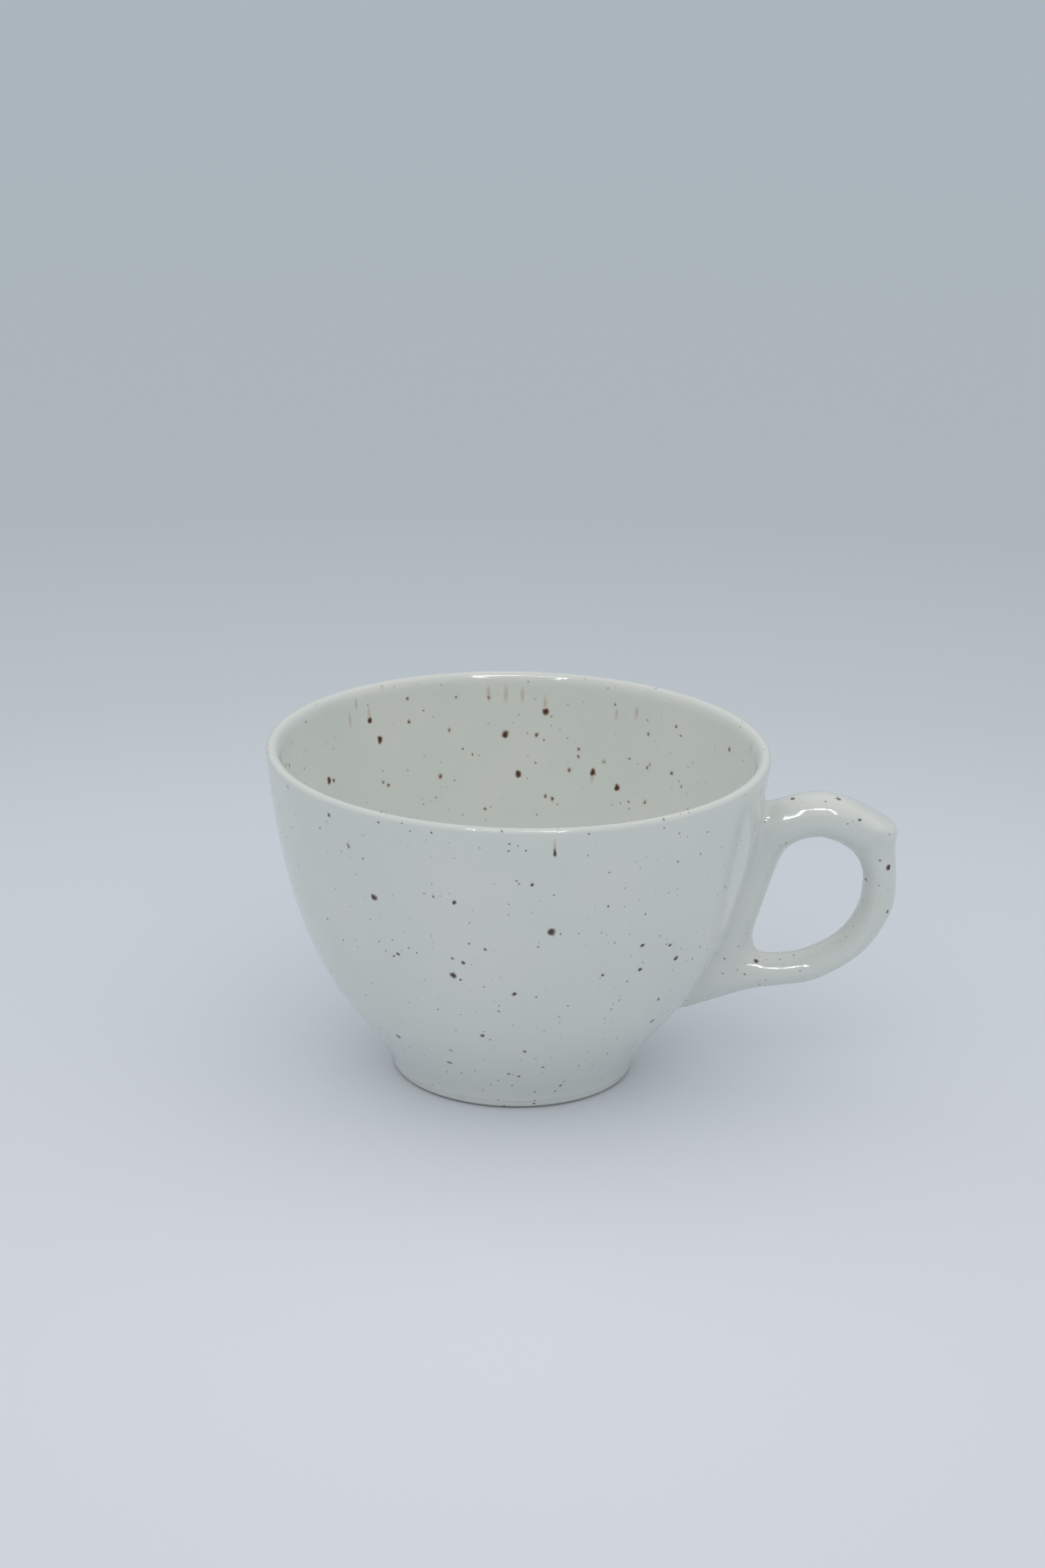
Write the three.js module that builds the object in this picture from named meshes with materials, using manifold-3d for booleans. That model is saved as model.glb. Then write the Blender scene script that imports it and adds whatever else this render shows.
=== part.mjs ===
// A lungo cup: a porcelain bowl on a low foot ring, with a cast ring handle stuck to its wall by a
// layer of slip. Millimetres, +Z up, handle towards +X. The cup stands on Z = 0, and the origin is
// under the middle of its overall length.

import * as THREE from 'three';
import { LoftGeometry } from 'three/addons/geometries/LoftGeometry.js';
import { mergeVertices } from 'three/addons/utils/BufferGeometryUtils.js';
import Module from 'manifold-3d';

// Bowl
const rimDiameter = 90; // outside, at the lip
const cupHeight = 61; // table to the top of the lip
const lipThickness = 2.4; // the lip is a full round of this thickness
const wallThickness = 4; // where the wall springs from the foot
const floorThickness = 4.5;
const springAngle = 29; // lean of the wall from upright where it springs, degrees
const lipAngle = 6; // lean of the wall just under the lip, degrees
const springPull = 0.22; // how long the wall keeps its spring angle, as a share of its height
const lipPull = 0.75; // how long it keeps its lip angle, as a share of its height
const floorTurn = 0.2; // where the inside wall turns into the floor, as a share of the wall's curve

// Foot ring
const footDiameter = 43.8; // outside, at the standing edge
const footHeight = 3.8;
const footWidth = 3.4; // radial width
const footDraft = 0.4; // how far the ring widens from the edge to the bowl
const footEdge = 0.6; // chamfer on both sides of the standing face
const springStep = 1; // how far the bowl stands out from the ring's edge where it springs

// Handle, in its own plane. "Thickness" is in that plane and "width" is across it.
const handleDrop = 8; // top of the lip down to the handle's crest
const gapHeight = 23.2; // finger gap
const gapDepth = 17.3;
const webThickness = 5.1; // bowl wall to finger gap
const crestThickness = 7.9;
const armThickness = 6.1; // outer side
const lowerThickness = 5.6; // lower arm
const rootThickness = 7.8; // lower arm where it swells into the root
const spurReach = 8.8; // finger gap to the tip of the thumb spur
const upperRootDrop = 2.5; // crest down to the top of the root on the wall
const tailRise = 5.5; // foot ring up to the end of the lower root
const armWidth = 8.8;
const crestWidth = 10.4;
const spurWidth = 12;
const webWidth = 9.6; // at the finger gap
const rootWidth = 14; // where the web flares out on to the bowl's surface
const rootDepth = 4; // how far the ring's line runs inside that surface

// Slip joint between handle and bowl
const slipThickness = 0.6;
const slipSqueeze = 0.8; // how far the slip stands out around the handle's seat
const seatClearance = 0.3; // between the slip and the piece on either side of it

// Smoothness
const turnSegments = 64;
const wallSteps = 16;
const lipSteps = 6;
const floorSteps = 6;
const ringSections = 60;
const sectionPoints = 16;
const bisections = 40;
const weldDistance = 1e-4;

const wasm = await Module();
wasm.setup();

const degrees = THREE.MathUtils.degToRad;
const rimRadius = rimDiameter / 2;
const footRadius = footDiameter / 2;
const lipHeight = cupHeight - lipThickness / 2;

// Outer wall: one curve from the spring above the foot to the lip, as radius and height
function wallCurve() {
	const spring = new THREE.Vector2(footRadius + springStep, footHeight);
	const lip = new THREE.Vector2(rimRadius, lipHeight);
	const height = lip.y - spring.y;
	const lean = (angle, length) =>
		new THREE.Vector2(Math.sin(degrees(angle)), Math.cos(degrees(angle))).multiplyScalar(length);
	const afterSpring = spring.clone().add(lean(springAngle, springPull * height));
	const beforeLip = lip.clone().sub(lean(lipAngle, lipPull * height));
	return new THREE.CubicBezierCurve(spring, afterSpring, beforeLip, lip);
}

const wall = wallCurve();

// Point on the wall moved outwards, or inwards where the distance is negative
function besideWall(t, distance) {
	const tangent = wall.getTangent(t);
	const outward = new THREE.Vector2(tangent.y, -tangent.x);
	return wall.getPoint(t).addScaledVector(outward, distance);
}

function wallRadiusAt(height) {
	let low = 0;
	let high = 1;
	for (let i = 0; i < bisections; i++) {
		const middle = (low + high) / 2;
		if (wall.getPoint(middle).y < height) low = middle;
		else high = middle;
	}
	return wall.getPoint(low).x;
}

// Turned solid from a profile of radius and height
function turned(profile) {
	const geometry = new THREE.LatheGeometry(profile, turnSegments);
	geometry.rotateX(Math.PI / 2);
	return geometry;
}

// Solids for joining and cutting
function solidOf(geometry) {
	const bare = new THREE.BufferGeometry();
	bare.setAttribute('position', geometry.getAttribute('position'));
	bare.setIndex(geometry.index);
	const merged = mergeVertices(bare, weldDistance);
	const corners = merged.index.array;
	const triangles = [];
	for (let i = 0; i < corners.length; i += 3) {
		const [a, b, c] = corners.slice(i, i + 3);
		if (a !== b && b !== c && c !== a) triangles.push(a, b, c);
	}
	const mesh = new wasm.Mesh({
		numProp: 3,
		vertProperties: new Float32Array(merged.attributes.position.array),
		triVerts: new Uint32Array(triangles),
	});
	return new wasm.Manifold(mesh);
}

function geometryOf(solid) {
	const mesh = solid.getMesh();
	const geometry = new THREE.BufferGeometry();
	geometry.setAttribute('position', new THREE.BufferAttribute(mesh.vertProperties, 3));
	geometry.setIndex(new THREE.BufferAttribute(mesh.triVerts, 1));
	geometry.computeVertexNormals();
	return geometry;
}

const shares = (count) => Array.from({ length: count + 1 }, (_, i) => i / count);

function bowlGeometry() {
	const floorHeight = footHeight + floorThickness;
	const outside = shares(wallSteps).map((t) => wall.getPoint(t));
	const lip = shares(lipSteps).slice(1).map((t) => new THREE.Vector2(
		rimRadius - lipThickness / 2 + lipThickness / 2 * Math.cos(Math.PI * t),
		lipHeight + lipThickness / 2 * Math.sin(Math.PI * t),
	));
	const inside = shares(wallSteps).slice(1, -1).map((s) => {
		const t = 1 - s * (1 - floorTurn);
		return besideWall(t, -THREE.MathUtils.lerp(wallThickness, lipThickness, t));
	});
	const turn = besideWall(floorTurn, -THREE.MathUtils.lerp(wallThickness, lipThickness, floorTurn));
	const slope = wall.getTangent(floorTurn);
	const corner = new THREE.Vector2(turn.x - (turn.y - floorHeight) * slope.x / slope.y, floorHeight);
	const floor = new THREE.QuadraticBezierCurve(turn, corner, new THREE.Vector2(0, floorHeight));
	const underside = new THREE.Vector2(0, footHeight);
	return turned([underside, ...outside, ...lip, ...inside, ...floor.getPoints(floorSteps)]);
}

function footRingGeometry() {
	const inner = footRadius - footWidth;
	return turned([
		new THREE.Vector2(inner + footEdge, 0),
		new THREE.Vector2(footRadius - footEdge, 0),
		new THREE.Vector2(footRadius, footEdge),
		new THREE.Vector2(footRadius + footDraft, footHeight),
		new THREE.Vector2(inner - footDraft, footHeight),
		new THREE.Vector2(inner, footEdge),
		new THREE.Vector2(inner + footEdge, 0),
	]);
}

// Everything within a distance of the bowl's outer wall, used to fit the handle and slip to it
function bowlEnvelope(distance) {
	const skin = shares(wallSteps).map((t) => besideWall(t, distance));
	return solidOf(turned([
		new THREE.Vector2(0, skin[0].y),
		...skin,
		new THREE.Vector2(0, skin.at(-1).y),
	]));
}

// The handle is a closed ring around the finger gap. Each station gives a point on the gap, as shares
// of its depth and height, and the point across the limb from it.
function handleStations() {
	const crestHeight = cupHeight - handleDrop;
	const gapTop = crestHeight - crestThickness;
	const gapBottom = gapTop - gapHeight;
	const onGap = ([deep, high]) => {
		const height = gapBottom + high * gapHeight;
		return new THREE.Vector2(wallRadiusAt(height) + webThickness + deep * gapDepth, height);
	};
	const limb = (gap, angle, thickness, width) => {
		const inner = onGap(gap);
		const across = new THREE.Vector2(Math.cos(degrees(angle)), Math.sin(degrees(angle)));
		return { inner, outer: inner.clone().addScaledVector(across, thickness), width, flare: 0 };
	};
	const root = (gap, height, width, seatWidth) => {
		const inner = onGap(gap);
		const outer = new THREE.Vector2(wallRadiusAt(height) - rootDepth, height);
		const seat = 1 - rootDepth / (inner.x - outer.x);
		return { inner, outer, width, flare: (seatWidth / width - 1) / flareShape(seat) };
	};
	const rootTop = crestHeight - upperRootDrop;
	const rootBottom = footHeight + tailRise;
	const rootAt = (share) => THREE.MathUtils.lerp(rootBottom, rootTop, share);
	return [
		limb([0.965, 0.6], 3, armThickness, armWidth),
		limb([0.89, 0.75], 15, armThickness, armWidth),
		limb([0.76, 0.87], 25, spurReach, spurWidth),
		limb([0.6, 0.95], 51, crestThickness, spurWidth),
		limb([0.34, 1], 89, crestThickness, crestWidth),
		limb([0.16, 0.965], 108, crestThickness, crestWidth),
		root([0.05, 0.88], rootTop, crestWidth, crestWidth),
		root([0.01, 0.74], rootAt(0.75), webWidth, rootWidth),
		root([0, 0.5], rootAt(0.5), webWidth, rootWidth),
		root([0.02, 0.24], rootAt(0.25), webWidth, rootWidth),
		root([0.08, 0.1], rootBottom, webWidth, webWidth),
		limb([0.22, 0.02], -113, rootThickness, armWidth),
		limb([0.42, 0], -93, lowerThickness, armWidth),
		limb([0.7, 0.05], -72, lowerThickness, armWidth),
		limb([0.93, 0.2], -38, lowerThickness, armWidth),
		limb([1, 0.42], -9, armThickness, armWidth),
	];
}

// How the web's flare grows across a section, from 0 at the finger gap to 1 at the ring's far side
function flareShape(share) {
	return share ** 2;
}

// The ring's solid, with its sections grown all round by a margin
function handleRing(margin) {
	const stations = handleStations();
	const through = (points) => new THREE.CatmullRomCurve3(points, true, 'catmullrom');
	const gapSide = through(stations.map(({ inner, width }) => new THREE.Vector3(inner.x, inner.y, width / 2)));
	const farSide = through(stations.map(({ outer, flare }) => new THREE.Vector3(outer.x, outer.y, flare)));
	const sections = shares(ringSections).map((s) => {
		const inner = gapSide.getPoint(s % 1);
		const outer = farSide.getPoint(s % 1);
		const middle = new THREE.Vector2((inner.x + outer.x) / 2, (inner.y + outer.y) / 2);
		const half = new THREE.Vector2(outer.x - inner.x, outer.y - inner.y).multiplyScalar(0.5);
		half.setLength(half.length() + margin);
		const halfWidth = inner.z + margin;
		return shares(sectionPoints).slice(0, -1).map((turn) => {
			const angle = -2 * Math.PI * turn;
			const along = -Math.cos(angle);
			const spread = 1 + outer.z * flareShape((1 + along) / 2);
			return new THREE.Vector3(
				middle.x + along * half.x,
				halfWidth * Math.sin(angle) * spread,
				middle.y + along * half.y,
			);
		});
	});
	return solidOf(new LoftGeometry(sections));
}

function handleGeometry() {
	const seat = bowlEnvelope(seatClearance + slipThickness + seatClearance);
	return geometryOf(handleRing(0).subtract(seat));
}

function handleSlipGeometry() {
	const layer = bowlEnvelope(seatClearance + slipThickness).subtract(bowlEnvelope(seatClearance));
	return geometryOf(handleRing(slipSqueeze).intersect(layer));
}

// Finishes
const glazed = () => new THREE.MeshStandardMaterial({ color: 0xd3d7d4, roughness: 0.12, metalness: 0 });
const bare = () => new THREE.MeshStandardMaterial({ color: 0xc9c8c0, roughness: 0.6, metalness: 0 });

function piece(name, geometry, material) {
	const mesh = new THREE.Mesh(geometry, material);
	mesh.name = name;
	return mesh;
}

// The cup about its own axis, then moved so that the origin is under the middle of its length
const cup = new THREE.Group();
cup.add(
	piece('bowl', bowlGeometry(), glazed()),
	piece('foot_ring', footRingGeometry(), bare()),
	piece('handle', handleGeometry(), glazed()),
	piece('handle_slip', handleSlipGeometry(), glazed()),
);
const reach = new THREE.Box3().setFromObject(cup);
cup.position.x = -(reach.min.x + reach.max.x) / 2;

const lungoCup = new THREE.Group();
lungoCup.name = 'lungo_cup';
lungoCup.add(cup);

export default lungoCup;
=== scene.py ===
"""A lungo cup in speckled porcelain: a turned bowl on a foot ring, and a cast ring handle whose web
flows into the bowl's wall. Shapes are written in millimetres about the cup's own axis, with the handle
towards +X, and each finished piece is then brought into the frame, which is in metres."""

import math

import bmesh
import bpy
import numpy as np
from mathutils import Matrix, Vector
from mathutils.bvhtree import BVHTree


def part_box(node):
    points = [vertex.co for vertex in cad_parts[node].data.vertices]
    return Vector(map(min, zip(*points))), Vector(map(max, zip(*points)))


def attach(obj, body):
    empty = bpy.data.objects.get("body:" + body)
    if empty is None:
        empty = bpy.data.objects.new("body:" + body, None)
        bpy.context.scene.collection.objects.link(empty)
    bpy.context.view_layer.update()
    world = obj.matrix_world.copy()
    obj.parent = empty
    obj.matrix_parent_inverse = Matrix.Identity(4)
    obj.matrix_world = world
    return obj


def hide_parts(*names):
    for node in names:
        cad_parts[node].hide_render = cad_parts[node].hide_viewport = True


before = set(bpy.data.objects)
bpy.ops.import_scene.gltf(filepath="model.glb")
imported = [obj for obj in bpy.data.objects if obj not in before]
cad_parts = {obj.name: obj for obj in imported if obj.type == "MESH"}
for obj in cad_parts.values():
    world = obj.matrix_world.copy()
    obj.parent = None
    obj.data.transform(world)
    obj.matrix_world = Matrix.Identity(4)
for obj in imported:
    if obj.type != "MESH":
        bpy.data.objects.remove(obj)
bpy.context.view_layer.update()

# Sizes from the frame, in millimetres
MM = 0.001
bowl_low, bowl_high = (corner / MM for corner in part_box("bowl"))
foot_low, foot_high = (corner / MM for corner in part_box("foot_ring"))
_, handle_high = (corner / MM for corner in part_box("handle"))
AXIS_X = (bowl_low.x + bowl_high.x) / 2
RIM_RADIUS = (bowl_high.y - bowl_low.y) / 2
CUP_HEIGHT = bowl_high.z
FOOT_HEIGHT = foot_high.z
FOOT_TOP_RADIUS = (foot_high.y - foot_low.y) / 2
CREST_HEIGHT = handle_high.z
TO_FRAME = Matrix.Translation((AXIS_X * MM, 0, 0)) @ Matrix.Scale(MM, 4)

# Bowl
LIP_THICKNESS = 2.4
WALL_THICKNESS = 4
FLOOR_THICKNESS = 4.5
SPRING_ANGLE = 29
LIP_ANGLE = 6
SPRING_PULL = 0.22
LIP_PULL = 0.75
FLOOR_TURN = 0.2
SPRING_STEP = 1
LIP_EDGE = 0.9  # radius of the lip's outer edge
LIP_ROLL = 2.8  # how far below the rim the lip's inner side rolls over into the wall

# Foot ring
FOOT_WIDTH = 3.4
FOOT_DRAFT = 0.4
FOOT_EDGE = 1.4
FOOT_BARE_SHADED = 0.4  # height up to which the standing edge is bare, and painted dark as the shade where the foot meets the floor
FOOT_FILLET_FROM = 1.6  # heights between which the ring's flank sweeps out into the wall
FOOT_FILLET_TO = 6

# Handle
GAP_HEIGHT = 23.2
GAP_DEPTH = 17.3
WEB_THICKNESS = 5.1
CREST_THICKNESS = 7.9
ARM_THICKNESS = 6.1
LOWER_THICKNESS = 5.6
ROOT_THICKNESS = 7.8
SPUR_REACH = 9.1
UPPER_ROOT_DROP = 4.9
TAIL_RISE = 5.5
ARM_WIDTH = 8.8
CREST_WIDTH = 10.4
WEB_WIDTH = 9.6
ROOT_DEPTH = 4
PAD_BLUNTNESS = 0.45
PAD_OVERHANG = 0.28

# Fillet where the handle flows into the wall: its rise off the wall, and how far it spreads for that
FILLET_RISE = {"tail": 2.0, "web": 2.6, "crest": 1.8}
FILLET_SPREAD = {"tail": 1.4, "web": 2.0, "crest": 1.4}
FILLET_FADE = 3  # power with which the fillet's height dies away towards the wall
FILLET_ROWS = 14
FILLET_EASE = 40  # passes that even out the fillet's direction along the root
FILLET_STEP = 0.2  # corners of the root that are closer than this are made one
FEATHER = 0.008  # depth at which the fillet's thin edge ends, under the wall's flat facets
BURIED = 0.4  # depth at which the handle closes, inside the bowl's wall

# Smoothness
TURN_STEPS = 288
WALL_STEPS = 72
LIP_STEPS = 12
EDGE_STEPS = 6
FLOOR_STEPS = 24
STATION_STEPS = 4
SECTION_POINTS = 24
HANDLE_LEVELS = 2
SHARP_ANGLE = 40
WELD = 0.002
HALVINGS = 40  # of a stretch of the wall's curve, in the search for a place on it

# Material numbers of faces
SECOND_FINISH = 1
RING_FACES = 0
CUT_FACES = 1


# Curves

def bezier(points, share):
    """Point on the Bezier curve through these control points, and the direction there."""
    points = [Vector(point) for point in points]
    while len(points) > 2:
        points = [a.lerp(b, share) for a, b in zip(points, points[1:])]
    return points[0].lerp(points[1], share), (points[1] - points[0]).normalized()


def curve_points(points, steps):
    return [bezier(points, i / steps)[0] for i in range(steps + 1)]


def lean(angle, length):
    return Vector((math.sin(math.radians(angle)), math.cos(math.radians(angle)))) * length


def mix(a, b, share):
    return a + (b - a) * share


LIP_HEIGHT = CUP_HEIGHT - LIP_EDGE
SPRING = Vector((FOOT_TOP_RADIUS - FOOT_DRAFT + SPRING_STEP, FOOT_HEIGHT))
LIP = Vector((RIM_RADIUS, LIP_HEIGHT))
WALL = (
    SPRING,
    SPRING + lean(SPRING_ANGLE, SPRING_PULL * (LIP.y - SPRING.y)),
    LIP - lean(LIP_ANGLE, LIP_PULL * (LIP.y - SPRING.y)),
    LIP,
)


def beside_wall(share, distance):
    """Point at a distance outside the outer wall, as radius and height."""
    point, along = bezier(WALL, share)
    return point + Vector((along.y, -along.x)) * distance


def wall_share(height):
    """Share of the wall's curve at which it reaches a height."""
    low, high = 0, 1
    for _ in range(HALVINGS):
        middle = (low + high) / 2
        low, high = (middle, high) if bezier(WALL, middle)[0].y < height else (low, middle)
    return low


def wall_radius(height):
    return bezier(WALL, wall_share(height))[0].x


def wall_thickness(share):
    return mix(WALL_THICKNESS, LIP_THICKNESS, share)


# Meshes

def turned(profile):
    """Solid turned about the cup's axis from a profile of radius and height."""
    shape = bmesh.new()
    corners = [shape.verts.new((radius, 0, height)) for radius, height in profile]
    edges = [shape.edges.new(pair) for pair in zip(corners, corners[1:])]
    bmesh.ops.spin(
        shape, geom=corners + edges, cent=(0, 0, 0), axis=(0, 0, 1), angle=math.tau,
        steps=TURN_STEPS, use_merge=True,
    )
    bmesh.ops.remove_doubles(shape, verts=shape.verts, dist=WELD)
    bmesh.ops.recalc_face_normals(shape, faces=shape.faces)
    return shape


def object_of(shape, name):
    mesh = bpy.data.meshes.new(name)
    shape.to_mesh(mesh)
    shape.free()
    thing = bpy.data.objects.new(name, mesh)
    bpy.context.scene.collection.objects.link(thing)
    return thing


def finish_piece(shape, name, finishes, slot, *nodes):
    """Brings a shape into the frame as a piece that stands for these nodes."""
    shape.transform(TO_FRAME)
    piece = object_of(shape, name)
    for finish in finishes:
        piece.data.materials.append(finish)
    piece.data.shade_smooth()
    piece.data.set_sharp_from_angle(angle=math.radians(SHARP_ANGLE))
    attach(piece, "root")
    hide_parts(*nodes)
    return piece


# Materials, with sizes in millimetres

GLAZE_THIN = "#dfe2dd"
GLAZE_POOLED = "#dadfda"
GLAZE_CLOUD = 16  # width of the thin and pooled patches
GLAZE_ROUGHNESS = 0.06
GLAZE_IOR = 1.5
RIPPLE_WIDTH = 7
RIPPLE_HEIGHT = 0.04
BUMP_STRENGTH = 0.5
OUTER_IRON = ("#b0a5a1", "#6d5b58", "#3d3131")  # stain, rim and core of a spot
INNER_IRON = ("#bfa78f", "#7b5038", "#33241f")
SPOT_RIM = {"From Min": 0.1, "From Max": 0.4}  # nearness at which the stain goes over into the rim
SPOT_CORE = {"From Min": 0.4, "From Max": 0.8}  # and the rim into the core
SPOT_EDGE = 0.55  # nearness at which a spot hides the glaze
SPOT_ROUGHNESS = 0.2
SPOT_RAGGEDNESS = 0.25
SPOT_RAGGEDNESS_WIDTH = 1.2
SPOT_RAGGEDNESS_DETAIL = 1
OUTER_SCATTER = ((3.6, 1.3, 0.8), (1.3, 0.6, 1))  # cell, largest diameter and share of the cells
INNER_SCATTER = ((3.2, 1.6, 0.8), (1.5, 0.8, 0.7))
OUTER_DARKNESS = 0.85  # of the small and scattered spots
INNER_DARKNESS = 0.6
SCATTER_POWER = 2  # the higher, the fewer of the scattered spots are large
NO_SPOT = 0.001  # radius of a spot too small to show, as a share of its cell
FAR_OFF = 100  # distance from a spot, in its own radii, at which there is none
RUN_COLOUR = "#bfa78f"
RUN_STRENGTH = 0.6
STREAKS = (2, 1.2, 0.9)  # cell, largest width and share of the cells
STREAK_LENGTH = 5
STREAK_HEIGHTS = {"From Min": 51, "From Max": 57}  # between which the streaks come in, below the rim
# Tones of the bare edge, darkened as painted shade for the dark line where the foot meets the floor
SHADED_BARE_DARK = "#8b8a85"
SHADED_BARE_LIGHT = "#a19f98"
BARE_GRAIN = 0.5
BARE_RELIEF = 0.03
BARE_ROUGHNESS = 0.6
NOISE_DETAIL = 3
NOISE_RANGE = {"From Min": 0.3, "From Max": 0.7}
MIX_SHARE, MIX_FIRST, MIX_SECOND, MIX_RESULT = 0, 6, 7, 2  # sockets of a Mix node that mixes colours


def linear(hex_colour):
    """Linear RGBA of an sRGB hex colour."""
    parts = [int(hex_colour[i:i + 2], 16) / 255 for i in (1, 3, 5)]
    return [p / 12.92 if p <= 0.04045 else ((p + 0.055) / 1.055) ** 2.4 for p in parts] + [1]


def add_node(tree, kind, inputs, output=0, **settings):
    """Adds a node and gives one of its outputs. An input is a value, or another node's output to link."""
    node = tree.nodes.new(kind)
    for name, value in settings.items():
        setattr(node, name, value)
    for name, value in inputs.items():
        if isinstance(value, bpy.types.NodeSocket):
            tree.links.new(value, node.inputs[name])
        else:
            node.inputs[name].default_value = value
    return node.outputs[output]


def new_material(name):
    material = bpy.data.materials.new(name)
    material.use_nodes = True
    tree = material.node_tree
    return material, tree, tree.nodes["Principled BSDF"]


def millimetres(tree):
    """Place on the object in millimetres about the cup's axis."""
    place = add_node(tree, "ShaderNodeTexCoord", {}, "Object")
    scaled = {0: place, 1: (1 / MM,) * 3, 2: (-AXIS_X, 0, 0)}
    return add_node(tree, "ShaderNodeVectorMath", scaled, operation="MULTIPLY_ADD")


def spots(tree, place, rows):
    """Nearness to single spots, each a place, a width and a length: 1 in the middle, 0 on the edge."""
    nearest = FAR_OFF
    for centre, width, length in rows:
        scale = Vector((2 / width, 2 / width, 2 / length))
        off = {0: place, 1: scale, 2: -scale * centre}
        off = add_node(tree, "ShaderNodeVectorMath", off, operation="MULTIPLY_ADD")
        off = add_node(tree, "ShaderNodeVectorMath", {0: off}, "Value", operation="LENGTH")
        nearest = add_node(tree, "ShaderNodeMath", {0: nearest, 1: off}, operation="MINIMUM")
    return add_node(tree, "ShaderNodeMath", {0: 1, 1: nearest}, operation="SUBTRACT")


def scatter(tree, place, cell, diameter, share):
    """Nearness to scattered spots, at most one in a cell and on this share of the cells."""
    off = add_node(tree, "ShaderNodeTexVoronoi", {"Vector": place, "Scale": 1 / cell}, "Distance")
    lot = add_node(tree, "ShaderNodeSeparateColor", {"Color": off.node.outputs["Color"]}, "Red")
    size = {"Value": lot, "From Max": share, "To Min": 1, "To Max": 0}
    size = add_node(tree, "ShaderNodeMapRange", size)
    size = add_node(tree, "ShaderNodeMath", {0: size, 1: SCATTER_POWER}, operation="POWER")
    radius = {0: size, 1: diameter / 2 / cell, 2: NO_SPOT}
    radius = add_node(tree, "ShaderNodeMath", radius, operation="MULTIPLY_ADD")
    nearness = {"Value": off, "From Max": radius, "To Min": 1, "To Max": 0}
    return add_node(tree, "ShaderNodeMapRange", nearness, clamp=False)


def speckled_glaze(name, iron, large_spots, small_spots, scattered, darkness, runs, streaked):
    """Clear gloss glaze over white porcelain, fired so that grains of iron melt up into it: dark cores
    with brown rims, blurred a little by the glass, and some that have run down in tan streaks."""
    material, tree, shader = new_material(name)
    place = millimetres(tree)

    cloud = {"Vector": place, "Scale": 1 / GLAZE_CLOUD, "Detail": NOISE_DETAIL}
    cloud = add_node(tree, "ShaderNodeTexNoise", cloud)
    pooled = add_node(tree, "ShaderNodeMapRange", {"Value": cloud, **NOISE_RANGE})
    white = {MIX_SHARE: pooled, MIX_FIRST: linear(GLAZE_THIN), MIX_SECOND: linear(GLAZE_POOLED)}
    white = add_node(tree, "ShaderNodeMix", white, MIX_RESULT, data_type="RGBA")

    run = spots(tree, place, runs)
    if streaked:
        drawn_out = {0: place, 1: (1, 1, 1 / STREAK_LENGTH)}
        drawn_out = add_node(tree, "ShaderNodeVectorMath", drawn_out, operation="MULTIPLY")
        height = add_node(tree, "ShaderNodeSeparateXYZ", {"Vector": place}, "Z")
        below_rim = add_node(tree, "ShaderNodeMapRange", {"Value": height, **STREAK_HEIGHTS})
        streak = {0: scatter(tree, drawn_out, *STREAKS), 1: below_rim}
        streak = add_node(tree, "ShaderNodeMath", streak, operation="MULTIPLY")
        run = add_node(tree, "ShaderNodeMath", {0: run, 1: streak}, operation="MAXIMUM")
    run = {"Value": run, "To Max": RUN_STRENGTH}
    run = add_node(tree, "ShaderNodeMapRange", run, interpolation_type="SMOOTHSTEP")
    stained = {MIX_SHARE: run, MIX_FIRST: white, MIX_SECOND: linear(RUN_COLOUR)}
    stained = add_node(tree, "ShaderNodeMix", stained, MIX_RESULT, data_type="RGBA")

    jitter = {"Vector": place, "Scale": 1 / SPOT_RAGGEDNESS_WIDTH, "Detail": SPOT_RAGGEDNESS_DETAIL}
    jitter = add_node(tree, "ShaderNodeTexNoise", jitter, "Color", normalize=False)
    ragged = {0: jitter, 1: (SPOT_RAGGEDNESS,) * 3, 2: place}
    ragged = add_node(tree, "ShaderNodeVectorMath", ragged, operation="MULTIPLY_ADD")
    near = spots(tree, ragged, large_spots)
    specks = [scatter(tree, ragged, *pattern) for pattern in scattered]
    for speck in (spots(tree, ragged, small_spots), *specks):
        speck = add_node(tree, "ShaderNodeMath", {0: speck, 1: darkness}, operation="MULTIPLY")
        near = add_node(tree, "ShaderNodeMath", {0: near, 1: speck}, operation="MAXIMUM")

    stain, rim, core = (linear(colour) for colour in iron)
    to_rim = add_node(tree, "ShaderNodeMapRange", {"Value": near, **SPOT_RIM})
    rim = {MIX_SHARE: to_rim, MIX_FIRST: stain, MIX_SECOND: rim}
    rim = add_node(tree, "ShaderNodeMix", rim, MIX_RESULT, data_type="RGBA")
    to_core = add_node(tree, "ShaderNodeMapRange", {"Value": near, **SPOT_CORE})
    spot = {MIX_SHARE: to_core, MIX_FIRST: rim, MIX_SECOND: core}
    spot = add_node(tree, "ShaderNodeMix", spot, MIX_RESULT, data_type="RGBA")
    edge = {"Value": near, "From Max": SPOT_EDGE}
    edge = add_node(tree, "ShaderNodeMapRange", edge, interpolation_type="SMOOTHSTEP")
    colour = {MIX_SHARE: edge, MIX_FIRST: stained, MIX_SECOND: spot}
    colour = add_node(tree, "ShaderNodeMix", colour, MIX_RESULT, data_type="RGBA")
    roughness = {"Value": near, "To Min": GLAZE_ROUGHNESS, "To Max": SPOT_ROUGHNESS}
    roughness = add_node(tree, "ShaderNodeMapRange", roughness)

    ripple = {"Vector": place, "Scale": 1 / RIPPLE_WIDTH, "Detail": NOISE_DETAIL}
    ripple = add_node(tree, "ShaderNodeTexNoise", ripple)
    ripple = {"Strength": BUMP_STRENGTH, "Distance": RIPPLE_HEIGHT * MM, "Height": ripple}
    ripple = add_node(tree, "ShaderNodeBump", ripple)
    tree.links.new(colour, shader.inputs["Base Color"])
    tree.links.new(roughness, shader.inputs["Roughness"])
    tree.links.new(ripple, shader.inputs["Normal"])
    shader.inputs["IOR"].default_value = GLAZE_IOR
    return material


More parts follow.
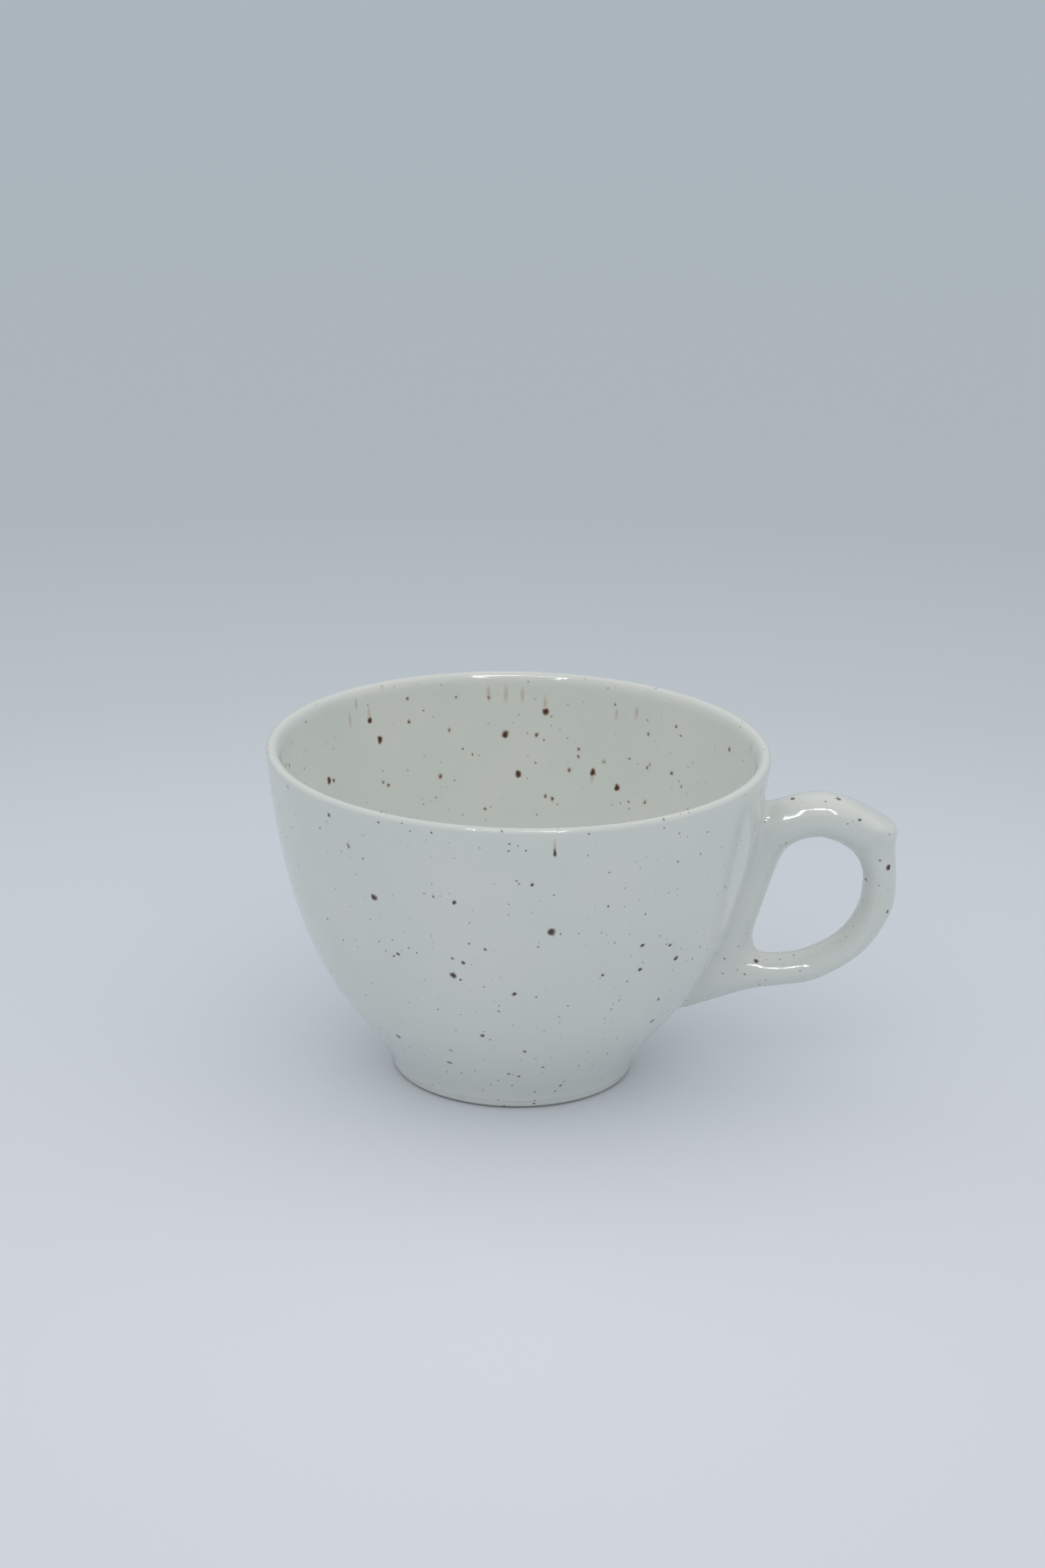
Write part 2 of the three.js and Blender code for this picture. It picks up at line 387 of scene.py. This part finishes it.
def shaded_bare_porcelain():
    """The unglazed edge that the cup stood on in the kiln: matt and finely grained, with painted shade,
    for its dark colour stands for the shade where the foot meets the floor.
    """
    material, tree, shader = new_material("shaded_bare_porcelain")
    grain = {"Vector": millimetres(tree), "Scale": 1 / BARE_GRAIN, "Detail": NOISE_DETAIL}
    grain = add_node(tree, "ShaderNodeTexNoise", grain)
    share = add_node(tree, "ShaderNodeMapRange", {"Value": grain, **NOISE_RANGE})
    colour = {MIX_SHARE: share, MIX_FIRST: linear(SHADED_BARE_DARK), MIX_SECOND: linear(SHADED_BARE_LIGHT)}
    colour = add_node(tree, "ShaderNodeMix", colour, MIX_RESULT, data_type="RGBA")
    relief = {"Strength": BUMP_STRENGTH, "Distance": BARE_RELIEF * MM, "Height": grain}
    relief = add_node(tree, "ShaderNodeBump", relief)
    tree.links.new(colour, shader.inputs["Base Color"])
    tree.links.new(relief, shader.inputs["Normal"])
    shader.inputs["Roughness"].default_value = BARE_ROUGHNESS
    return material


# Bowl

def foot_sweep():
    """Control points of the sweep from the ring's flank into the wall."""
    end, along = bezier(WALL, wall_share(FOOT_FILLET_TO))
    flank = Vector((FOOT_DRAFT, FOOT_HEIGHT)) / FOOT_HEIGHT
    start = Vector((FOOT_TOP_RADIUS - FOOT_DRAFT, 0)) + flank * FOOT_FILLET_FROM
    rise = (end - start).cross(along) / flank.cross(along)
    return start, start + flank * rise, end


def bowl_shape():
    first = wall_share(FOOT_FILLET_TO)
    outside = [bezier(WALL, mix(first, 1, i / WALL_STEPS))[0] for i in range(1, WALL_STEPS + 1)]
    lip = []
    for i in range(1, LIP_STEPS):
        angle = math.pi / 2 * i / LIP_STEPS
        lip.append(LIP + Vector((math.cos(angle) - 1, math.sin(angle))) * LIP_EDGE)
    roll_share = wall_share(CUP_HEIGHT - LIP_ROLL)
    roll_end = beside_wall(roll_share, -wall_thickness(roll_share))
    slope = bezier(WALL, roll_share)[1]
    corner = roll_end + slope * ((CUP_HEIGHT - roll_end.y) / slope.y)
    roll = curve_points(((RIM_RADIUS - LIP_EDGE, CUP_HEIGHT), corner, roll_end), LIP_STEPS)
    inside = []
    for i in range(1, WALL_STEPS):
        share = mix(roll_share, FLOOR_TURN, i / WALL_STEPS)
        inside.append(beside_wall(share, -wall_thickness(share)))
    turn = beside_wall(FLOOR_TURN, -wall_thickness(FLOOR_TURN))
    slope = bezier(WALL, FLOOR_TURN)[1]
    floor_height = FOOT_HEIGHT + FLOOR_THICKNESS
    corner = Vector((turn.x - (turn.y - floor_height) * slope.x / slope.y, floor_height))
    floor = curve_points((turn, corner, (0, floor_height)), FLOOR_STEPS)
    sweep = curve_points(foot_sweep(), LIP_STEPS)
    underside = [Vector((0, FOOT_HEIGHT)), Vector((sweep[0].x - FOOT_WIDTH / 2, FOOT_HEIGHT)),
                 Vector((sweep[0].x - FOOT_WIDTH / 2, sweep[0].y))]
    shape = turned(underside + sweep + outside + lip + roll + inside + floor)
    for face in shape.faces:
        middle = face.calc_center_median()
        faces_axis = face.normal.x * middle.x + face.normal.y * middle.y < 0
        if middle.z > floor_height - WELD and (faces_axis or middle.z < floor_height + WELD):
            face.material_index = SECOND_FINISH
    return shape


# Foot ring

def foot_shape():
    start = foot_sweep()[0]
    outer = FOOT_TOP_RADIUS - FOOT_DRAFT
    inner = outer - FOOT_WIDTH
    outer_edge = curve_points(((outer - FOOT_EDGE, 0), (outer, 0), (outer, FOOT_EDGE)), EDGE_STEPS)
    inner_edge = curve_points(((inner, FOOT_EDGE), (inner, 0), (inner + FOOT_EDGE, 0)), EDGE_STEPS)
    seat = Vector((inner - FOOT_DRAFT, start.y))
    profile = [*outer_edge, start, seat, *inner_edge, outer_edge[0]]
    shape = turned(profile)
    for face in shape.faces:
        # The lowest faces take the bare edge, with its painted shade
        if face.calc_center_median().z < FOOT_BARE_SHADED:
            face.material_index = SECOND_FINISH
    return shape


# Handle: a closed ring round the finger gap. A station is a point on the gap, the point across the limb
# from it, half the limb's width, and how far its outer side is flattened out into the thumb pad.

def handle_stations():
    gap_top = CREST_HEIGHT - CREST_THICKNESS
    gap_bottom = gap_top - GAP_HEIGHT
    root_top = CREST_HEIGHT - UPPER_ROOT_DROP
    root_bottom = FOOT_HEIGHT + TAIL_RISE

    def on_gap(deep, high):
        height = gap_bottom + high * GAP_HEIGHT
        return Vector((wall_radius(height) + WEB_THICKNESS + deep * GAP_DEPTH, height))

    def limb(deep, high, angle, thickness, width, pad=0):
        inner = on_gap(deep, high)
        across = Vector((math.cos(math.radians(angle)), math.sin(math.radians(angle))))
        return *inner, *(inner + across * thickness), width / 2, pad

    def root(deep, high, share, width):
        height = mix(root_bottom, root_top, share)
        return *on_gap(deep, high), wall_radius(height) - ROOT_DEPTH, height, width / 2, 0

    def swollen(share):
        """Thickness on the way from the arm to the spur's tip."""
        return mix(ARM_THICKNESS, SPUR_REACH, share)

    def widened(share):
        """Width on the way from the arm to the crest."""
        return mix(ARM_WIDTH, CREST_WIDTH, share)

    return np.array([
        limb(0.965, 0.6, 3, ARM_THICKNESS, ARM_WIDTH),
        limb(0.93, 0.69, 9, ARM_THICKNESS, ARM_WIDTH),
        limb(0.89, 0.75, 14, swollen(0.1), ARM_WIDTH),
        limb(0.84, 0.81, 20, swollen(0.3), ARM_WIDTH, 0.1),
        limb(0.79, 0.85, 25, swollen(0.63), widened(0.12), 0.3),
        limb(0.74, 0.885, 30, SPUR_REACH, widened(0.5), 0.4),
        limb(0.68, 0.915, 40, swollen(0.77), widened(0.75), 1),
        limb(0.6, 0.95, 51, CREST_THICKNESS, widened(0.75), 0.8),
        limb(0.47, 0.985, 69, CREST_THICKNESS, CREST_WIDTH, 0.5),
        limb(0.34, 1, 89, CREST_THICKNESS, CREST_WIDTH, 0.3),
        limb(0.16, 0.965, 108, swollen(0.68), CREST_WIDTH),
        root(0.05, 0.88, 1, CREST_WIDTH),
        root(0.01, 0.74, 0.75, WEB_WIDTH),
        root(0, 0.5, 0.5, WEB_WIDTH),
        root(0.02, 0.24, 0.25, WEB_WIDTH),
        root(0.09, 0.115, 0, WEB_WIDTH),
        limb(0.22, 0.02, -113, ROOT_THICKNESS, ARM_WIDTH),
        limb(0.42, 0, -93, LOWER_THICKNESS, ARM_WIDTH),
        limb(0.7, 0.05, -72, LOWER_THICKNESS, ARM_WIDTH),
        limb(0.93, 0.2, -38, LOWER_THICKNESS, ARM_WIDTH),
        limb(1, 0.42, -9, ARM_THICKNESS, ARM_WIDTH),
    ])


def through(stations, steps):
    """The stations with a smooth run of steps from each to the next, all the way round."""
    before, after, beyond = (np.roll(stations, shift, 0) for shift in (1, -1, -2))
    runs = []
    for share in np.arange(steps) / steps:
        bend = 2 * before - 5 * stations + 4 * after - beyond
        twist = 3 * (stations - after) + beyond - before
        runs.append(stations + ((after - before) + (bend + twist * share) * share) * share / 2)
    return np.stack(runs, 1).reshape(-1, stations.shape[1])


def section_point(station, turn):
    """A point on the limb's section, a share of a turn round it from the finger gap."""
    inner, outer, half_width, pad = Vector(station[0:2]), Vector(station[2:4]), station[4], station[5]
    along, aside = -math.cos(math.tau * turn), math.sin(math.tau * turn)
    if along > 0:
        blunt = 1 - PAD_BLUNTNESS * pad
        along, aside = along ** blunt, math.copysign(abs(aside) ** blunt, aside)
    share = (1 + along) / 2
    place = inner.lerp(outer, share)
    return place.x, half_width * aside * (1 + PAD_OVERHANG * pad * share ** 2), place.y


def ring_shape():
    """The whole ring as a cage: a grid rolled up both ways."""
    stations = through(handle_stations(), STATION_STEPS)
    sections = len(stations)
    shape = bmesh.new()
    bmesh.ops.create_grid(shape, x_segments=sections, y_segments=SECTION_POINTS, size=0.5)
    for corner in shape.verts:
        section = round((corner.co.x + 0.5) * sections) % sections
        corner.co = section_point(stations[section], corner.co.y + 0.5)
    bmesh.ops.remove_doubles(shape, verts=shape.verts, dist=WELD)
    bmesh.ops.recalc_face_normals(shape, faces=shape.faces)
    return shape


def along_root(sizes, height):
    """A size that goes from the tail to the web and from there to the crest."""
    low, high = FOOT_HEIGHT + TAIL_RISE, CREST_HEIGHT
    share = min(max((height - low) / (high - low), 0), 1)
    if share < 0.5:
        return mix(sizes["tail"], sizes["web"], math.sin(math.pi * share) ** 2)
    return mix(sizes["crest"], sizes["web"], math.sin(math.pi * share) ** 2)


def off_wall(point):
    """Distance of a point from the outer wall, and the wall's outward normal there."""
    radius, low, high = math.hypot(point.x, point.y), 0, 1
    for _ in range(HALVINGS):
        middle = (low + high) / 2
        place, along = bezier(WALL, middle)
        ahead = (Vector((radius, point.z)) - place).dot(along) > 0
        low, high = (middle, high) if ahead else (low, middle)
    place, along = bezier(WALL, low)
    away = Vector((along.y, -along.x))
    distance = (Vector((radius, point.z)) - place).dot(away)
    return distance, Vector((away.x * point.x / radius, away.x * point.y / radius, away.y))


def to_depth(point, depth):
    """The point moved straight towards the wall until it is at this distance from it."""
    distance, away = off_wall(point)
    return point + away * (depth - distance)


def run_of(edges):
    """The corners along a closed run of edges, in order."""
    beside = {}
    for edge in edges:
        for corner in edge.verts:
            beside.setdefault(corner, []).append(edge.other_vert(corner))
    run = [edges[0].verts[0], edges[0].verts[1]]
    while len(run) < len(edges):
        first, second = beside[run[-1]]
        run.append(second if first == run[-2] else first)
    return run


def eased(directions):
    """Directions round a closed run, each evened out with its neighbours."""
    directions = np.array(directions)
    for _ in range(FILLET_EASE):
        directions = (np.roll(directions, 1, 0) + 2 * directions + np.roll(directions, -1, 0)) / 4
    return [Vector(direction).normalized() for direction in directions]


def fillet_curves(corners):
    """For corners on the handle's side: control points of the curves that sweep on to the wall."""
    walls = [off_wall(corner.co) for corner in corners]
    normals = eased([corner.normal for corner in corners])
    curves = []
    for corner, (distance, away), normal in zip(corners, walls, normals):
        down = (normal * away.dot(normal) - away).normalized()
        aside = (normal - away * normal.dot(away)).normalized()
        foot = to_depth(corner.co + down * (distance / -down.dot(away)), 0)
        length = (foot - corner.co).length * along_root(FILLET_SPREAD, corner.co.z)
        curves.append((corner.co.copy(), foot, to_depth(foot + aside * length, -FEATHER)))
    return curves


def fillet_point(curve, share):
    """A point on such a curve, kept at the height off the curved wall that it has on a flat one."""
    rise = (off_wall(curve[0])[0] + FEATHER) * (1 - share) ** FILLET_FADE
    return to_depth(bezier(curve, share)[0], rise - FEATHER)


def cut_ring():
    """The ring, smoothed and cut off where its fillet starts."""
    ring = object_of(ring_shape(), "ring_cage")
    shares = [i / WALL_STEPS for i in range(WALL_STEPS + 1)]
    skin = [beside_wall(s, along_root(FILLET_RISE, bezier(WALL, s)[0].y)) for s in shares]
    cutter = object_of(turned([Vector((0, skin[0].y)), *skin, Vector((0, skin[-1].y))]), "wall_envelope")
    for face in cutter.data.polygons:
        face.material_index = CUT_FACES
    for thing in (ring, cutter):
        for _ in (RING_FACES, CUT_FACES):
            thing.data.materials.append(None)
    smooth = ring.modifiers.new("smooth", "SUBSURF")
    smooth.levels = smooth.render_levels = HANDLE_LEVELS
    cut = ring.modifiers.new("cut", "BOOLEAN")
    cut.operation = "DIFFERENCE"
    cut.object = cutter
    bpy.context.view_layer.update()
    shape = bmesh.new()
    shape.from_mesh(ring.evaluated_get(bpy.context.evaluated_depsgraph_get()).to_mesh())
    for thing in (ring, cutter):
        bpy.data.objects.remove(thing)
    return shape


def handle_shape():
    shape = cut_ring()
    number = shape.verts.layers.int.new("place")
    root = {e for face in shape.faces if face.material_index == CUT_FACES for e in face.edges}
    root = {e for e in root if any(face.material_index == RING_FACES for face in e.link_faces)}
    bmesh.ops.remove_doubles(shape, verts=list({c for e in root for c in e.verts}), dist=FILLET_STEP)
    bmesh.ops.split(shape, geom=[face for face in shape.faces if face.material_index == CUT_FACES])
    seat = {corner for face in shape.faces if face.material_index == CUT_FACES for corner in face.verts}
    edge = [e for e in shape.edges if e.is_boundary and not seat.intersection(e.verts)]
    shape.normal_update()
    corners = run_of(edge)
    curves = fillet_curves(corners)
    for place, corner in enumerate(corners):
        corner[number] = place
    for corner in seat:
        corner.co = to_depth(corner.co, -BURIED)
    for row in range(1, FILLET_ROWS + 2):
        made = bmesh.ops.extrude_edge_only(shape, edges=edge)["geom"]
        edge = [item for item in made if isinstance(item, bmesh.types.BMEdge)]
        for corner in (item for item in made if isinstance(item, bmesh.types.BMVert)):
            curve = curves[corner[number]]
            if row <= FILLET_ROWS:
                corner.co = fillet_point(curve, row / FILLET_ROWS)
            else:
                corner.co = to_depth(curve[0], -BURIED)
    for face in shape.faces:
        face.material_index = RING_FACES
    bmesh.ops.remove_doubles(shape, verts=shape.verts, dist=WELD)
    bmesh.ops.recalc_face_normals(shape, faces=shape.faces)
    return shape


# Camera, with its place in metres, angles in degrees, and lens and sensor in millimetres

CAMERA_PLACE = (AXIS_X * MM, -0.589, 0.2568)
CAMERA_PITCH = 19.03
CAMERA_YAW = -0.08
CAMERA_ROLL = 1.22
LENS = 80
SENSOR = 36
PHOTO_WIDTH, PHOTO_HEIGHT = 1200, 1800  # in pixels


def camera_matrix():
    turn = Matrix.Rotation(math.radians(CAMERA_YAW), 4, "Z")
    tilt = Matrix.Rotation(math.radians(90 - CAMERA_PITCH), 4, "X")
    roll = Matrix.Rotation(math.radians(CAMERA_ROLL), 4, "Z")
    return Matrix.Translation(CAMERA_PLACE) @ turn @ tilt @ roll


def camera():
    lens = bpy.data.cameras.new("camera")
    lens.lens = LENS
    lens.sensor_width = SENSOR
    view = bpy.data.objects.new("camera", lens)
    view.matrix_world = camera_matrix()
    bpy.context.scene.collection.objects.link(view)
    bpy.context.scene.camera = view


def seen_at(across, down, skins):
    """Place on the cup, in millimetres, that the camera sees at a pixel of the photograph."""
    view = camera_matrix()
    eye = TO_FRAME.inverted() @ view.translation
    pixel = Vector((across - PHOTO_WIDTH / 2, PHOTO_HEIGHT / 2 - down, -PHOTO_HEIGHT * LENS / SENSOR))
    hits = [skin.ray_cast(eye, view.to_3x3() @ pixel) for skin in skins]
    places = [(distance, place) for place, _, _, distance in hits if place is not None]
    return min(places, key=lambda hit: hit[0])[1]


# The larger spots that show from the front: pixels across and down the photograph, and a
# width in millimetres
OUTER_SPOTS = (
    (430, 1030, 1.8), (633, 1070, 2), (520, 1120, 1.7), (776, 1100, 1.4), (458, 1190, 1.4),
    (749, 1172, 1.4), (910, 917, 1.2), (963, 917, 1.4), (1020, 996, 1.3),
)
OUTER_SMALL_SPOTS = (
    (532, 1105, 1.2), (735, 1113, 1.2), (692, 1120, 1), (611, 1015, 1), (522, 1036, 1.1),
    (557, 1090, 1), (457, 1095, 1), (554, 1189, 1.2), (602, 1207, 1), (516, 1220, 1.2),
    (624, 1225, 1), (596, 1236, 0.9), (585, 1233, 0.8), (644, 1246, 0.8), (756, 1147, 1),
    (770, 1085, 1), (994, 1010, 1.1), (868, 1103, 1.2), (987, 941, 1), (1019, 1047, 1),
)
INNER_SPOTS = (
    (425, 827, 1.4), (436, 849, 1.6), (580, 843, 1.8), (627, 817, 1.6), (595, 888, 1.7), (681, 887, 1.6),
    (709, 904, 1.6), (378, 896, 1.5), (383, 896, 0.9),
)
INNER_SMALL_SPOTS = (
    (561, 801, 1.1), (506, 891, 1.3), (771, 888, 1.1), (634, 917, 1.2), (665, 860, 0.9), (664, 869, 1.1),
    (744, 843, 1.1), (468, 802, 1.1), (470, 828, 1), (516, 838, 1), (446, 902, 1), (743, 881, 1),
    (746, 878, 0.9), (782, 903, 1), (740, 921, 1.1), (627, 914, 1), (557, 928, 1),
)
INNER_STRETCH = 1.25  # length of a spot on the inside, as a share of its width
# Spots that have run, and the streaks that such spots left, with a width and a length
OUTER_RUN_SPOTS = ((637, 979, 0.8, 2.4),)
OUTER_RUNS = ((637, 972, 1, 5),)
INNER_RUNS = (
    (561, 796, 1.2, 5), (581, 797, 1.3, 6), (600, 798, 1.2, 5), (626, 807, 1.2, 5), (402, 827, 1.1, 5),
    (409, 808, 1, 4), (424, 820, 1.1, 5), (731, 818, 1.2, 4), (708, 820, 1, 4), (680, 893, 1.1, 4),
)


def on_cup(rows, skins, stretch=1):
    """Rows of spots, with a place on the cup for the pixel. A row without a length gets one, which is its
    width stretched by this share."""
    placed = []
    for across, down, width, *length in rows:
        placed.append((seen_at(across, down, skins), width, *(length or [width * stretch])))
    return placed


bowl, foot, handle = bowl_shape(), foot_shape(), handle_shape()
skins = [BVHTree.FromBMesh(shape) for shape in (bowl, foot, handle)]
outer_spots = on_cup(OUTER_SPOTS + OUTER_RUN_SPOTS, skins)
outer_small_spots = on_cup(OUTER_SMALL_SPOTS, skins)
inner_spots = on_cup(INNER_SPOTS, skins, INNER_STRETCH)
inner_small_spots = on_cup(INNER_SMALL_SPOTS, skins, INNER_STRETCH)
glaze = speckled_glaze(
    "speckled_glaze", OUTER_IRON, outer_spots, outer_small_spots, OUTER_SCATTER, OUTER_DARKNESS,
    on_cup(OUTER_RUNS, skins), streaked=False,
)
inner_glaze = speckled_glaze(
    "speckled_glaze_inside", INNER_IRON, inner_spots, inner_small_spots, INNER_SCATTER, INNER_DARKNESS,
    on_cup(INNER_RUNS, skins), streaked=True,
)
finish_piece(bowl, "glazed_bowl", [glaze, inner_glaze], "glaze", "bowl")
finish_piece(foot, "glazed_foot", [glaze, shaded_bare_porcelain()], "foot", "foot_ring")
finish_piece(handle, "glazed_handle", [glaze], "glaze", "handle", "handle_slip")


# Stage and light, in metres

FLOOR_RADIUS = 3.0
FLOOR_SIDES = 96
FLOOR_PAINTED_LIGHT_COLOURS = (  # of the paper with painted light: a painted pool of light in front of the cup and painted shade further off, by the distance from where it is brightest
    (0, "#e8ebf2"), (0.225, "#d7dee5"), (0.315, "#ccd4da"), (0.495, "#bec8cd"), (1.5, "#bfc9d2"),
)
FLOOR_PAINTED_LIGHT_CENTRE = (AXIS_X * MM, -0.09, 0)  # centre of the painted pool of light, in front of the cup
PAPER_ROUGHNESS = 0.7
TENT_TOP = "#eeeeee"
TENT_SIDE = "#abb4bd"
TENT_FRONT = "#909599"
TENT_SIDE_HEIGHT = 0.7  # sine of the elevation at which the tent's sides go over to its top
TENT_FRONT_EDGES = {"From Min": -0.9, "From Max": -0.4}  # between which the front goes over to the sides
TENT_FRONT_LOW = {"From Min": 0.1, "From Max": 0}  # sines of elevation between which the front fades
LAMP_DISTANCE = 1.0
LAMP_LEANS = (22, 46)  # degrees from straight above the cup, towards the camera
LAMP_FRAME_WIDTH = 0.54
LAMPS_ACROSS = 15
LAMPS_DOWN = 8
LAMP_SIZE = 0.022
LAMP_POWER = 0.25
PANEL_HEIGHT = 0.8
PANEL_LEAN = 46
PANEL_POWER = 0.6


def floor():
    """A sheet of pale paper, with a painted pool of light in front of the cup and painted shade that
    deepens further off.
    """
    shape = bmesh.new()
    bmesh.ops.create_circle(shape, cap_ends=True, segments=FLOOR_SIDES, radius=FLOOR_RADIUS)
    thing = object_of(shape, "floor")
    material, tree, shader = new_material("sweep_paper")
    away = {0: add_node(tree, "ShaderNodeTexCoord", {}, "Object"), 1: FLOOR_PAINTED_LIGHT_CENTRE}
    away = add_node(tree, "ShaderNodeVectorMath", away, "Value", operation="DISTANCE")
    colour = linear(FLOOR_PAINTED_LIGHT_COLOURS[0][1])
    for (start, _), (end, next_colour) in zip(FLOOR_PAINTED_LIGHT_COLOURS, FLOOR_PAINTED_LIGHT_COLOURS[1:]):
        share = add_node(tree, "ShaderNodeMapRange", {"Value": away, "From Min": start, "From Max": end})
        colour = {MIX_SHARE: share, MIX_FIRST: colour, MIX_SECOND: linear(next_colour)}
        colour = add_node(tree, "ShaderNodeMix", colour, MIX_RESULT, data_type="RGBA")
    tree.links.new(colour, shader.inputs["Base Color"])
    shader.inputs["Roughness"].default_value = PAPER_ROUGHNESS
    shader.inputs["Specular IOR Level"].default_value = 0
    thing.data.materials.append(material)


def tent():
    """White cloth round and over the cup, brightest above and darker in front. Its sides, and the low
    edge of its front, are like the far paper."""
    world = bpy.data.worlds.new("light_tent")
    world.use_nodes = True
    bpy.context.scene.world = world
    tree = world.node_tree
    direction = add_node(tree, "ShaderNodeTexCoord", {}, "Generated")
    height = add_node(tree, "ShaderNodeSeparateXYZ", {"Vector": direction}, "Z")
    beside = {"Value": height.node.outputs["Y"], **TENT_FRONT_EDGES}
    beside = add_node(tree, "ShaderNodeMapRange", beside, interpolation_type="SMOOTHSTEP")
    below = add_node(tree, "ShaderNodeMapRange", {"Value": height, **TENT_FRONT_LOW})
    beside = add_node(tree, "ShaderNodeMath", {0: beside, 1: below}, operation="MAXIMUM")
    wall = {MIX_SHARE: beside, MIX_FIRST: linear(TENT_FRONT), MIX_SECOND: linear(TENT_SIDE)}
    wall = add_node(tree, "ShaderNodeMix", wall, MIX_RESULT, data_type="RGBA")
    above = {"Value": height, "From Max": TENT_SIDE_HEIGHT}
    above = add_node(tree, "ShaderNodeMapRange", above, interpolation_type="SMOOTHSTEP")
    cloth = {MIX_SHARE: above, MIX_FIRST: wall, MIX_SECOND: linear(TENT_TOP)}
    cloth = add_node(tree, "ShaderNodeMix", cloth, MIX_RESULT, data_type="RGBA")
    tree.links.new(cloth, tree.nodes["Background"].inputs["Color"])


def hang(name, light, x, angle):
    """Hangs a light that shines on the cup from a distance, leaning towards the camera by this angle."""
    lamp = bpy.data.objects.new(name, light)
    lean_back = Matrix.Rotation(math.radians(angle), 4, "X")
    place = Matrix.Translation((AXIS_X * MM + x, 0, CUP_HEIGHT * MM))
    lamp.matrix_world = place @ lean_back @ Matrix.Translation((0, 0, LAMP_DISTANCE))
    bpy.context.scene.collection.objects.link(lamp)
    return lamp


def front_panel():
    """The soft light that comes in from the front."""
    light = bpy.data.lights.new("front_panel", "AREA")
    light.shape = "RECTANGLE"
    light.size = LAMP_FRAME_WIDTH
    light.size_y = PANEL_HEIGHT
    light.energy = PANEL_POWER
    hang("front_panel", light, 0, PANEL_LEAN).visible_glossy = False


def small_lamps():
    """The single lamps along the top of a frame and down its sides, which show as points in the glaze."""
    light = bpy.data.lights.new("small_lamp", "AREA")
    light.shape = "DISK"
    light.size = LAMP_SIZE
    light.energy = LAMP_POWER
    places = [(i / (LAMPS_ACROSS - 1), 0) for i in range(LAMPS_ACROSS)]
    places += [(side, i / (LAMPS_DOWN - 1)) for i in range(1, LAMPS_DOWN) for side in (0, 1)]
    for across, down in places:
        lamp = hang("small_lamp", light, LAMP_FRAME_WIDTH * (across - 0.5), mix(*LAMP_LEANS, down))
        lamp.visible_diffuse = False


floor()
tent()
front_panel()
small_lamps()
camera()
bpy.context.scene.view_settings.view_transform = "Standard"
